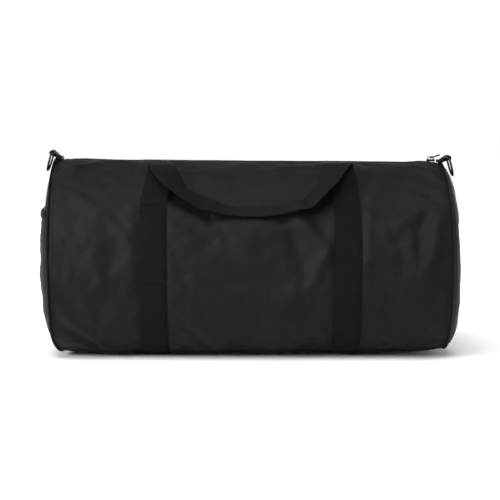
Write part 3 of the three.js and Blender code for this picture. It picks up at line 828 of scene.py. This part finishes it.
# ---- Zip ----
TAPE_DEPTH = 0.0047      # under the plain barrel
TAPE_REACH = 0.014       # from the zip's middle
TAPE_THICKNESS = 0.0006
COIL_DEPTH = 0.0040
COIL_PITCH = 0.0014
COIL_STEPS = 8           # to a turn
COIL_HALF_WIDE, COIL_HALF_HIGH = 0.00125, 0.00085
COIL_WIRE = 0.00038      # radius
COVER_HALF = 0.017       # across the zip


def make_zip_side(name, side):
    """One tape of the zip with its coil."""
    tape = Piece(f"tape_{name}")
    x = spread(-MOUTH_END_X - 0.004, MOUTH_END_X + 0.004, 0.004)
    grid_x, arc = np.meshgrid(x, np.linspace(0.0011, TAPE_REACH, 8), indexing="ij")
    angle = side * np.degrees(arc / RADIUS)
    sunk = -TAPE_DEPTH - zip_sink(grid_x) - 0.0006 * smooth(arc, 0.003, 0.008)
    outer, inner = barrel(grid_x, angle, sunk), barrel(grid_x, angle, sunk - TAPE_THICKNESS)
    tape.slab(outer, inner, weight=mouth_weight(grid_x, angle), flip=side > 0)
    fine = spread(-MOUTH_END_X, MOUTH_END_X, 0.003)
    row = side * degrees_of(0.0039)
    path = barrel(fine, row, 0.0001 - TAPE_DEPTH - zip_sink(fine))
    tape.stitches(path, (0, 0, 1), 0.0022, 0.0003, mouth_weight(fine, row))
    made = tape.build(TRIM, THREAD)
    bend(made)
    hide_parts(f"zip_tape_{name}")

    coil = Piece(f"coil_{name}")
    t = np.arange(int(2 * MOUTH_END_X / COIL_PITCH) * COIL_STEPS) / COIL_STEPS
    centre_x = -MOUTH_END_X + (t + (0.5 if side < 0 else 0)) * COIL_PITCH
    swing = 2 * np.pi * t
    arc = COIL_HALF_WIDE * (1 - np.cos(swing))
    lift = -COIL_DEPTH - zip_sink(centre_x) + COIL_HALF_HIGH * np.sin(swing)
    angle = side * np.degrees(arc / RADIUS)
    coil.tube(barrel(centre_x, angle, lift), COIL_WIRE, sides=5, weight=mouth_weight(centre_x, angle))
    made = coil.build(COIL)
    bend(made)
    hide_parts(f"zip_coil_{name}")


make_zip_side("front", 1)
make_zip_side("back", -1)


def make_zip_cover(name, end):
    """A small turned patch over the end of the zip."""
    piece = Piece(f"zip_cover_{name}")
    x = end * spread(MOUTH_END_X - 0.003, SEAM_X, 0.001)
    grid_x, arc = np.meshgrid(x, np.linspace(-COVER_HALF, COVER_HALF, 28), indexing="ij")
    angle = np.degrees(arc / RADIUS)
    level = -ZIP_VALLEY - zip_sink(grid_x)
    piece.slab(barrel(grid_x, angle, level + 0.0016), barrel(grid_x, angle, level + 0.0006), flip=end > 0)
    row = np.degrees(np.linspace(-COVER_HALF + 0.002, COVER_HALF - 0.002, 20) / RADIUS)
    row_x = np.full(20, end * (MOUTH_END_X - 0.001))
    piece.stitches(barrel(row_x, row, 0.0017 - ZIP_VALLEY - zip_sink(row_x)), (0, 0, 1), 0.003)
    made = piece.build(SHELL, THREAD)
    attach(made, "bag")
    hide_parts(f"zip_end_cover_{name}")


make_zip_cover("left", -1)
make_zip_cover("right", 1)

# ---- End panels ----
DOME_EXPONENT = 9
DOME_ROOM = 0.0016       # left for the cloth and its creases
DOME_FILLED = 0.005      # the loaded end panels belly out beyond their flat frames
LEFT_DOME = -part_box("end_panel_left")[0].x - SEAM_X - DOME_ROOM + DOME_FILLED * 0.6
RIGHT_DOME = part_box("end_panel_right")[1].x - SEAM_X - DOME_ROOM + DOME_FILLED
DOME_DROP = 0.004        # how far the dome's middle lies under the barrel's axis


def end_point(end, share, angle, height, out, seed):
    """Points of a domed end panel; share is 0 in its middle and 1 at the seam."""
    rim = barrel(np.full_like(angle, end * SEAM_X), angle)
    y = rim[..., 1] * share
    z = AXIS_Z - DOME_DROP + (rim[..., 2] - AXIS_Z + DOME_DROP) * share
    creases = lumps(y, z, ((0.0016, 0.07, seed), (0.0005, 0.022, seed + 5)))
    arc = np.radians(angle) * RADIUS
    near_rim = np.exp(-(1 - share) * RADIUS / 0.018) * (1 - share**30)
    pucker = 0.0014 * rough(share * 0.02, arc, 0.013, seed + 11, 2) * near_rim
    lift = (height + creases) * (1 - share**DOME_EXPONENT) + pucker
    lift += seam_shift(end, angle) * share**3
    return np.stack([end * (SEAM_X + lift + out), y, z], -1)


def make_end_panel(name, end, height, seed):
    """A round end panel, with a fan of triangles in its middle and a row of stitches near its rim."""
    piece = Piece(f"end_cloth_{name}")
    share = np.sin(np.linspace(0.012, 1, 62) * math.pi / 2)
    angle = np.linspace(0, 360, 264, endpoint=False)
    grid_share, grid_angle = np.meshgrid(share, angle[::-1] if end > 0 else angle, indexing="ij")
    outer = end_point(end, grid_share, grid_angle, height, CLOTH_THICKNESS, seed)
    uv = outer[..., 1:]
    piece.grid(outer, uv, None, around=True)
    ring = np.arange(len(angle)) - piece.count
    hub = np.zeros_like(ring)
    piece.add([outer[0].mean(0)], np.stack([np.roll(ring, -1), ring, hub, hub], -1), uv=uv[0].mean(0))
    turn = np.linspace(0, 360, 500)
    path = end_point(end, np.full_like(turn, 0.958), turn, height, 0.0012, seed)
    piece.stitches(path, (end, 0, 0))
    made = piece.build(SHELL, THREAD)
    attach(made, "bag")
    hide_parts(f"end_panel_{name}")


make_end_panel("left", -1, LEFT_DOME, 40.0)
make_end_panel("right", 1, RIGHT_DOME, 52.0)


CORD_RADIUS = 0.0017


def make_seam(name, end):
    """The corded seam round an end panel, and the tape that binds it inside."""
    piece = Piece(f"seam_cord_{name}")
    angle = np.linspace(0, 360, 300, endpoint=False)
    arc = np.radians(angle) * RADIUS
    wander = 0.0004 * rough(np.zeros_like(arc), arc, 0.02, 61.0 + end, 2)
    path = barrel(np.full_like(angle, end * (SEAM_X + 0.0004)), angle, 0.0009 + wander)
    piece.tube(path, CORD_RADIUS, closed=True)
    made = piece.build(TRIM)
    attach(made, "bag")
    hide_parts(f"piping_{name}")

    tape = Piece(f"seam_tape_{name}")
    x = end * np.linspace(SEAM_X - 0.0085, SEAM_X - 0.0015, 6)
    grid_x, grid_angle = np.meshgrid(x, angle, indexing="ij")
    outer, inner = barrel(grid_x, grid_angle, -0.0030), barrel(grid_x, grid_angle, -0.0038)
    tape.slab(outer, inner, around=True, flip=end > 0)
    made = tape.build(TRIM)
    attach(made, "bag")
    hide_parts(f"seam_binding_{name}")


make_seam("left", -1)
make_seam("right", 1)

# ---- Webbing ----
WEB_THICKNESS = 0.002
WEB_LIFT = 0.0002         # over the cloth
SEWN_ANGLE = 56.5
STITCH_INSET = 0.0028     # from the webbing's edge
INSET_SHARE = 1 - 2 * STITCH_INSET / WEBBING
TACK_STITCHES = 26
TACK_SWING = 0.0009


def web_slab(piece, face, out, weight=None):
    """Webbing with thinner edges, on both sides of its middle surface."""
    share = np.linspace(-1, 1, face.shape[1])
    uv = lengths(share * WEBBING / 2, reach_along(face[:, face.shape[1] // 2]))
    edge = (1 - 0.35 * np.abs(share) ** 12)[None, :, None] * WEB_THICKNESS / 2
    piece.slab(face + out * edge, face - out * edge, uv, weight)


def columns_at(face, share):
    """The column below a share of a ribbon's width, from -1 to 1, and how far on the place lies."""
    at = (np.asarray(share) + 1) / 2 * (face.shape[1] - 1)
    low = np.minimum(at.astype(int), face.shape[1] - 2)
    return low, (at - low)[..., None]


def ribbon_rows(piece, face, out, inset=INSET_SHARE, weight=None, lift=WEB_THICKNESS / 2):
    """A row of stitches along both edges of a ribbon, at a share of its half width."""
    for share in (-inset, inset):
        low, f = columns_at(face, share)
        path = face[:, low] * (1 - f) + face[:, low + 1] * f
        up = out[:, low] * (1 - f) + out[:, low + 1] * f
        piece.stitches(path + up * lift, up, 0.0032, weight=weight)


def bar_tacks(piece, face, out, rows, weight=None, lift=WEB_THICKNESS / 2):
    """Dense zigzags of thread across a ribbon at some of its rows."""
    low, f = columns_at(face, np.linspace(-0.9, 0.9, TACK_STITCHES))
    zigzag = np.where(np.arange(TACK_STITCHES) % 2, TACK_SWING, -TACK_SWING)[:, None]
    for row in rows:
        path = face[row, low] * (1 - f) + face[row, low + 1] * f
        up = out[row, low] * (1 - f) + out[row, low + 1] * f
        along = face[row + 1, low] - face[row, low]
        along /= np.linalg.norm(along, axis=1, keepdims=True)
        each = None if weight is None else np.full(TACK_STITCHES, weight[row])
        piece.stitches(path + along * zigzag + up * lift, up, 0.0016, 0.0004, each)


def make_band(name, end):
    """The webbing sewn round the bag, from the front handle's leg under the base to the back one's."""
    piece = Piece(f"webbing_band_{name}")
    turns = spread(SEWN_ANGLE, 360 - SEWN_ANGLE, degrees_of(0.0022))
    angle, share = np.meshgrid(turns, np.linspace(-1, 1, 21), indexing="ij")
    face = cloth(end * BAND_X + share * WEBBING / 2, angle, WEB_LIFT + WEB_THICKNESS / 2)
    out = normals_of(face)
    web_slab(piece, face, out)
    ribbon_rows(piece, face, out)
    bar_tacks(piece, face, out, (4, len(face) - 6))
    made = piece.build(BAND, THREAD)
    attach(made, "bag")
    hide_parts(f"web_band_{name}")


make_band("left", -1)
make_band("right", 1)

# A handle, from the sewn webbing up a leg, over the crease and down to the folded grip.
# Each knot holds its inner edge and its outer edge: x, angle and radius of both, in millimetres.
LEG_LEFT = [
    (-118.4, SEWN_ANGLE, 146.3, -156.4, SEWN_ANGLE, 146.3),
    (-117.8, 53, 146.6, -155.8, 53, 146.6),
    (-115, 46.5, 147.6, -153, 46.5, 147.6),
    (-111, 38.5, 150.8, -149, 38.5, 150.8),
    (-108.5, 33.1, 154.7, -146.8, 33.1, 155.1),
]
FALL_LEFT = [
    (-107.8, 30.6, 157.8, -145.8, 30.4, 159),
    (-106, 31.4, 159.4, -144, 31.7, 162.6),
    (-102, 34.6, 156.2, -137, 38.3, 163.4),
    (-97.6, 37.4, 152.4, -125, 45.1, 164),
    (-94.5, 40.9, 150.3, -114, 49.5, 166.4),
    (-90, 44.3, 149.1, -105, 52.7, 168.2),
    (-77, 47.6, 149.1, -86, 57.3, 167.4),
    (-62.6, 50.9, 149.3, -70, 61.0, 165),
]
LEG_RIGHT = [
    (118.5, SEWN_ANGLE, 146.3, 156.5, SEWN_ANGLE, 146.3),
    (118, 53, 146.6, 156, 53, 146.6),
    (116, 46.5, 147.5, 154.5, 46.5, 147.5),
    (112, 38, 150.5, 152, 38, 150.5),
    (107.5, 31.8, 154.3, 149.5, 31.8, 154.7),
]
FALL_RIGHT = [
    (105.8, 29.0, 157.6, 147.8, 28.8, 158.8),
    (103.5, 29.8, 159.2, 146, 30.0, 162.4),
    (100.5, 33.3, 156.1, 138, 35.0, 162.8),
    (99, 36.3, 152.4, 130, 41.6, 164.5),
    (97, 39.6, 150.3, 123, 46.0, 166.2),
    (91.5, 43.7, 149.1, 113, 50.5, 168),
    (85.6, 46.7, 149.1, 102.5, 54.9, 168.2),
    (75, 52.2, 149.3, 87, 60.4, 167.2),
]
# The grip's knots hold the fold too, between the two edges.
GRIP = [
    (-53, 55.2, 148.4, -51, 54.6, 156, -54.5, 60.9, 159),
    (-42, 60.4, 148.2, -40, 56.0, 153, -42, 61.8, 155.2),
    (-20, 62.0, 148.2, -20, 57.2, 150.6, -20, 62.7, 152),
    (8, 62.6, 148.2, 8, 57.7, 150, 8, 63.1, 151.4),
    (32, 62.0, 148.2, 32, 57.2, 150.8, 32, 62.5, 152.2),
    (54, 59.8, 148.2, 54, 55.6, 154, 55, 61.4, 156.2),
    (65, 55.8, 148.6, 64, 54.4, 157.5, 69, 60.7, 162),
]

HANDLE_ROWS, HANDLE_COLUMNS = 260, 25
CURVE_POINTS = 340
FOLD_ROUNDING = 0.016     # how softly the grip's fold bends
CREASE_HALF = 0.006       # the weights ramp within this of its creases
SLUMP_TURN, SLUMP_IN = 4.0, 0.3


def folded_web(low_edge, middle, high_edge):
    """Webbing's middle surface from its two edges and its middle line, which may be a fold."""
    share = np.linspace(-1, 1, HANDLE_COLUMNS)
    bottom = math.sqrt(FOLD_ROUNDING)
    fold = (np.sqrt(share**2 + FOLD_ROUNDING) - bottom) / (math.sqrt(1 + FOLD_ROUNDING) - bottom)
    crown = ((low_edge + high_edge) / 2 - middle)[:, None] * fold[None, :, None]
    return middle[:, None] + crown + ((high_edge - low_edge) / 2)[:, None] * share[None, :, None]


def make_handle(name, side, slump=0.0):
    """A handle on one side of the bag; slump, from 0 to 1, lays it lower on the barrel."""

    def polar(x, angle, radius):
        turn = math.radians(angle + SLUMP_TURN * slump)
        radius /= 1000
        radius -= (radius - RADIUS - WEB_THICKNESS) * SLUMP_IN * slump
        return [x / 1000, -radius * math.sin(turn), AXIS_Z + radius * math.cos(turn)]

    piece = Piece(f"handle_{name}")
    left = LEG_LEFT + FALL_LEFT
    knots = left + GRIP + (LEG_RIGHT + FALL_RIGHT)[::-1]
    low = [polar(*knot[:3]) for knot in knots]
    high = [polar(*knot[-3:]) for knot in knots]
    # A knot without a fold has its middle halfway between its edges.
    fold = [
        polar(*knot[3:6]) if len(knot) == 9 else np.add(inner, outer) / 2
        for knot, inner, outer in zip(knots, low, high)
    ]
    turned = np.array([side, side, 1.0])
    low, fold, high = (curve_through(line, CURVE_POINTS) * turned for line in (low, fold, high))
    reach = reach_along(fold)
    even = np.linspace(0, reach[-1], HANDLE_ROWS)
    low, fold, high = (sample(line, reach, even) for line in (low, fold, high))
    # Weights run from none on the legs' ends to full between the two creases.
    creases = [len(LEG_LEFT), len(left) + len(GRIP) + len(FALL_RIGHT) - 1]
    first, last = np.interp(creases, np.linspace(0, len(knots) - 1, CURVE_POINTS), reach)
    weight = smooth(even, first - CREASE_HALF, first + CREASE_HALF)
    weight *= 1 - smooth(even, last - CREASE_HALF, last + CREASE_HALF)
    face = folded_web(low, fold, high)
    out = normals_of(face)
    web_slab(piece, face, out, np.repeat(weight[:, None], HANDLE_COLUMNS, 1))
    # The webbing's back is smoother and painted a touch lighter. The lighter tone is painted light on the
    # faces that turn up where the handle has folded over.
    piece.slots[0].reshape(-1, 2 * HANDLE_COLUMNS)[:, HANDLE_COLUMNS:-1] = 2
    ribbon_rows(piece, face, out, weight=weight)
    bar_tacks(piece, face, out, (2, len(face) - 4), weight)
    made = piece.build(BAND, THREAD, BAND_BACK_LIT)
    bend(made)
    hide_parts(f"{name}_handle")


make_handle("front", 1)
make_handle("back", -1, slump=1.0)

# ---- Ring tabs and rings ----
RING_WIRE = 0.0015
TAB_HALF_WIDTH = 0.018
TAB_ROWS = 90
TAB_SEWN_ROWS = 18        # the foot's rows, which carry the stitches
LEAF = 0.0018             # thickness of the tab's webbing
TAB_FOOT_X = 0.2755
TAB_KNEE_X = 0.2795
RING_CORNER = 0.003       # radius


def make_ring(name, end):
    """A D-ring and the tab that holds it."""
    joint = joints[f"{name}_ring_swing"]
    pivot = Vector(joint["pos_m"])
    # The tab: one strip of webbing folded round the ring's straight bar and sewn down beside the end seam.
    piece = Piece(f"ring_tab_cloth_{name}")
    foot_x, knee_x = end * TAB_FOOT_X, end * TAB_KNEE_X
    sunk = zip_sink(foot_x) + ZIP_VALLEY
    foot = Vector((foot_x, 0, barrel(foot_x, 0.0, 0.0026 - sunk)[2]))
    knee = Vector((knee_x, 0, barrel(knee_x, 0.0, 0.0036 - sunk)[2]))
    eye = RING_WIRE + 0.0003 + LEAF / 2
    lean = (pivot - knee).normalized()
    over = Vector((-lean.z * end, 0, abs(lean.x)))
    turns = np.linspace(0, math.pi, 13)
    half_turn = [pivot + (over * math.cos(t) + lean * math.sin(t)) * eye for t in turns]
    gap = Vector((0, 0, LEAF + 0.0002))
    upper = [foot + gap, (foot + knee) / 2 + gap, knee + gap]
    upper += [knee.lerp(pivot, t) + gap * (1 - t) + over * eye * t for t in (0.35, 0.65)]
    lower = [knee.lerp(pivot, t) - over * eye * t * t for t in (0.65, 0.35)]
    lower += [knee, (foot + knee) / 2, foot]
    line = curve_through([list(p) for p in upper + half_turn + lower], TAB_ROWS)
    span = np.linspace(-1, 1, 15)
    wide = TAB_HALF_WIDTH * (1 - 0.05 * np.sin(np.linspace(0, math.pi, TAB_ROWS)) ** 2)
    y = end * wide[:, None] * span[None]
    face = np.stack(np.broadcast_arrays(line[:, None, 0], y, line[:, None, 2]), -1)
    # The foot lies down on the barrel, so its sides drop with it.
    on_barrel = 1 - smooth(face[..., 0] * end - TAB_FOOT_X, 0.002, 0.013)
    face[..., 2] -= (RADIUS - np.sqrt(RADIUS**2 - y**2)) * on_barrel
    out = normals_of(face)
    down, across = np.meshgrid(np.linspace(0, 0.05, TAB_ROWS), span * 0.02, indexing="ij")
    face = face + out * (0.000165 * rough(across, down, 0.012, 71.0 + end, 2))[..., None]
    uv = lengths(span * TAB_HALF_WIDTH, reach_along(line))
    piece.slab(face + out * LEAF / 2, face - out * LEAF / 2, uv)
    inset = 1 - STITCH_INSET / TAB_HALF_WIDTH
    ribbon_rows(piece, face[:TAB_SEWN_ROWS], out[:TAB_SEWN_ROWS], inset, lift=LEAF / 2)
    bar_tacks(piece, face, out, (2, 10), lift=LEAF / 2)
    made = piece.build(BAND, THREAD)
    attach(made, "bag")
    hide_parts(f"ring_tab_{name}")

    # The ring: a wire bent to a D, hanging from its straight bar.
    box_low, box_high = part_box(f"d_ring_{name}")
    half = (box_high.y - box_low.y) / 2 - RING_WIRE
    away = max(abs(box_low.x), abs(box_high.x)) - RING_WIRE - abs(pivot.x)
    fall = pivot.z - box_low.z - RING_WIRE
    reach, tilt = math.hypot(away, fall), math.atan2(away, fall)
    # The outline as (across, down): the bar, a tight corner, one half of the bow, and the same mirrored.
    outline = [(y, 0) for y in np.linspace(RING_CORNER - half, half - RING_CORNER, 12)]
    turns = np.linspace(0.3, 1.4, 4)
    corner = [(half - RING_CORNER * (1 - math.sin(t)), RING_CORNER * (1 - math.cos(t))) for t in turns]
    t = np.linspace(0, 1, 20)[:, None]
    ends = (half, RING_CORNER), (half, 0.8 * reach), (0.55 * half, reach), (0, reach)
    shares = (1 - t) ** 3, 3 * (1 - t) ** 2 * t, 3 * (1 - t) * t**2, t**3
    bow = [tuple(place) for place in sum(share * np.array(point) for share, point in zip(shares, ends))]
    outline += corner + bow + [(-y, drop) for y, drop in bow[-2::-1] + corner[::-1]]
    down = Vector((end * math.sin(tilt), 0, -math.cos(tilt)))
    path = [list(pivot + down * drop + Vector((0, y, 0))) for y, drop in outline]
    wire = Piece(f"ring_wire_{name}")
    wire.tube(path, RING_WIRE, sides=16, closed=True)
    made = wire.build(METAL)
    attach(made, joint["child"])
    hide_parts(f"d_ring_{name}")


make_ring("left", -1)
make_ring("right", 1)

# ---- End pocket ----
POCKET_RIM = (RADIUS - END_DRAW) * 0.97
POCKET_DEPTH = 0.0122
POCKET_LUMPS = (0.0024, 0.06, 87.0), (0.0008, 0.02, 90.0)
POCKET_TOP_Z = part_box("end_pocket")[1].z
HEM_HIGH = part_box("pocket_hem")[1].z - POCKET_TOP_Z


def pocket_surface(across, z, out):
    """The patch pocket's cloth over the left end panel; across runs from -1 to 1."""
    rise = np.clip((z - AXIS_Z) / POCKET_RIM, -0.998, 0.998)
    y = across * POCKET_RIM * np.sqrt(1 - rise**2)
    share = np.sqrt(y**2 + (z - AXIS_Z) ** 2) / POCKET_RIM
    belly = POCKET_DEPTH * (1 - np.clip(share, 0, 1) ** 9)
    slack = lumps(y, z, POCKET_LUMPS)
    # The open hem hangs a little away from the panel, in two soft waves.
    near_top = smooth(z, POCKET_TOP_Z - 0.09, POCKET_TOP_Z + HEM_HIGH)
    gape = near_top * 0.0022 * np.cos(across * 4.2 + 0.4) * (1 - across**2)
    slack = slack * (1 - np.clip(share, 0, 1) ** 9) + gape
    turn = np.degrees(np.arctan2(np.abs(y), z - AXIS_Z))
    lift = 0.0022 + belly + np.maximum(slack, -0.0035) + seam_shift(-1, turn) * share**3
    return np.stack([-(SEAM_X + lift + out), y, z + 0.0 * y], -1)


def make_pocket():
    """The pocket's patch, stitched down both curved edges, and the hem along its open top."""
    piece = Piece("pocket_cloth")
    low_z = AXIS_Z - POCKET_RIM * 0.9
    z = low_z + (POCKET_TOP_Z - low_z) * np.linspace(0, 1, 90)
    across = np.sin(np.linspace(-1, 1, 90) * math.pi / 2)
    grid_z, grid_across = np.meshgrid(z, across, indexing="ij")
    outer = pocket_surface(grid_across, grid_z, 0.0010)
    inner = pocket_surface(grid_across, grid_z, 0.0)
    piece.slab(outer, inner, outer[..., 1:], flip=True)
    edge_z = np.linspace(POCKET_TOP_Z - 0.002, low_z + 0.004, 150)
    for share, heights in ((0.965, edge_z), (-0.965, edge_z[::-1])):
        piece.stitches(pocket_surface(np.full(150, share), heights, 0.0012), (-1, 0, 0))
    made = piece.build(SHELL, THREAD)
    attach(made, "bag")
    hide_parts("end_pocket")

    hem = Piece("pocket_hem_cloth")
    z = np.linspace(POCKET_TOP_Z - 0.003, POCKET_TOP_Z + HEM_HIGH, 9)
    grid_z, grid_across = np.meshgrid(z, across, indexing="ij")
    curl = 0.0006 * np.sin((grid_z - z[0]) / (z[-1] - z[0]) * math.pi)
    outer = pocket_surface(grid_across, grid_z, 0.0022 + curl)
    inner = pocket_surface(grid_across, grid_z, -0.0002 - curl)
    hem.slab(outer, inner, flip=True)
    for level in (POCKET_TOP_Z - 0.0008, POCKET_TOP_Z + HEM_HIGH - 0.0022):
        row = np.linspace(-0.97, 0.97, 150)
        hem.stitches(pocket_surface(row, np.full(150, level), 0.0026), (-1, 0, 0))
    made = hem.build(TRIM, THREAD)
    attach(made, "bag")
    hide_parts("pocket_hem")


make_pocket()

# ---- Zip slider and pull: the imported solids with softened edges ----
EDGE_SOFTNESS = 0.0003
for metal_node in ("zip_slider", "zip_pull"):
    solid = frame["nodes"][metal_node]
    solid.data.materials.clear()
    solid.data.materials.append(METAL)
    soften = solid.modifiers.new("soft_edges", "BEVEL")
    soften.width = EDGE_SOFTNESS
    soften.segments = 2
    soften.limit_method = "ANGLE"
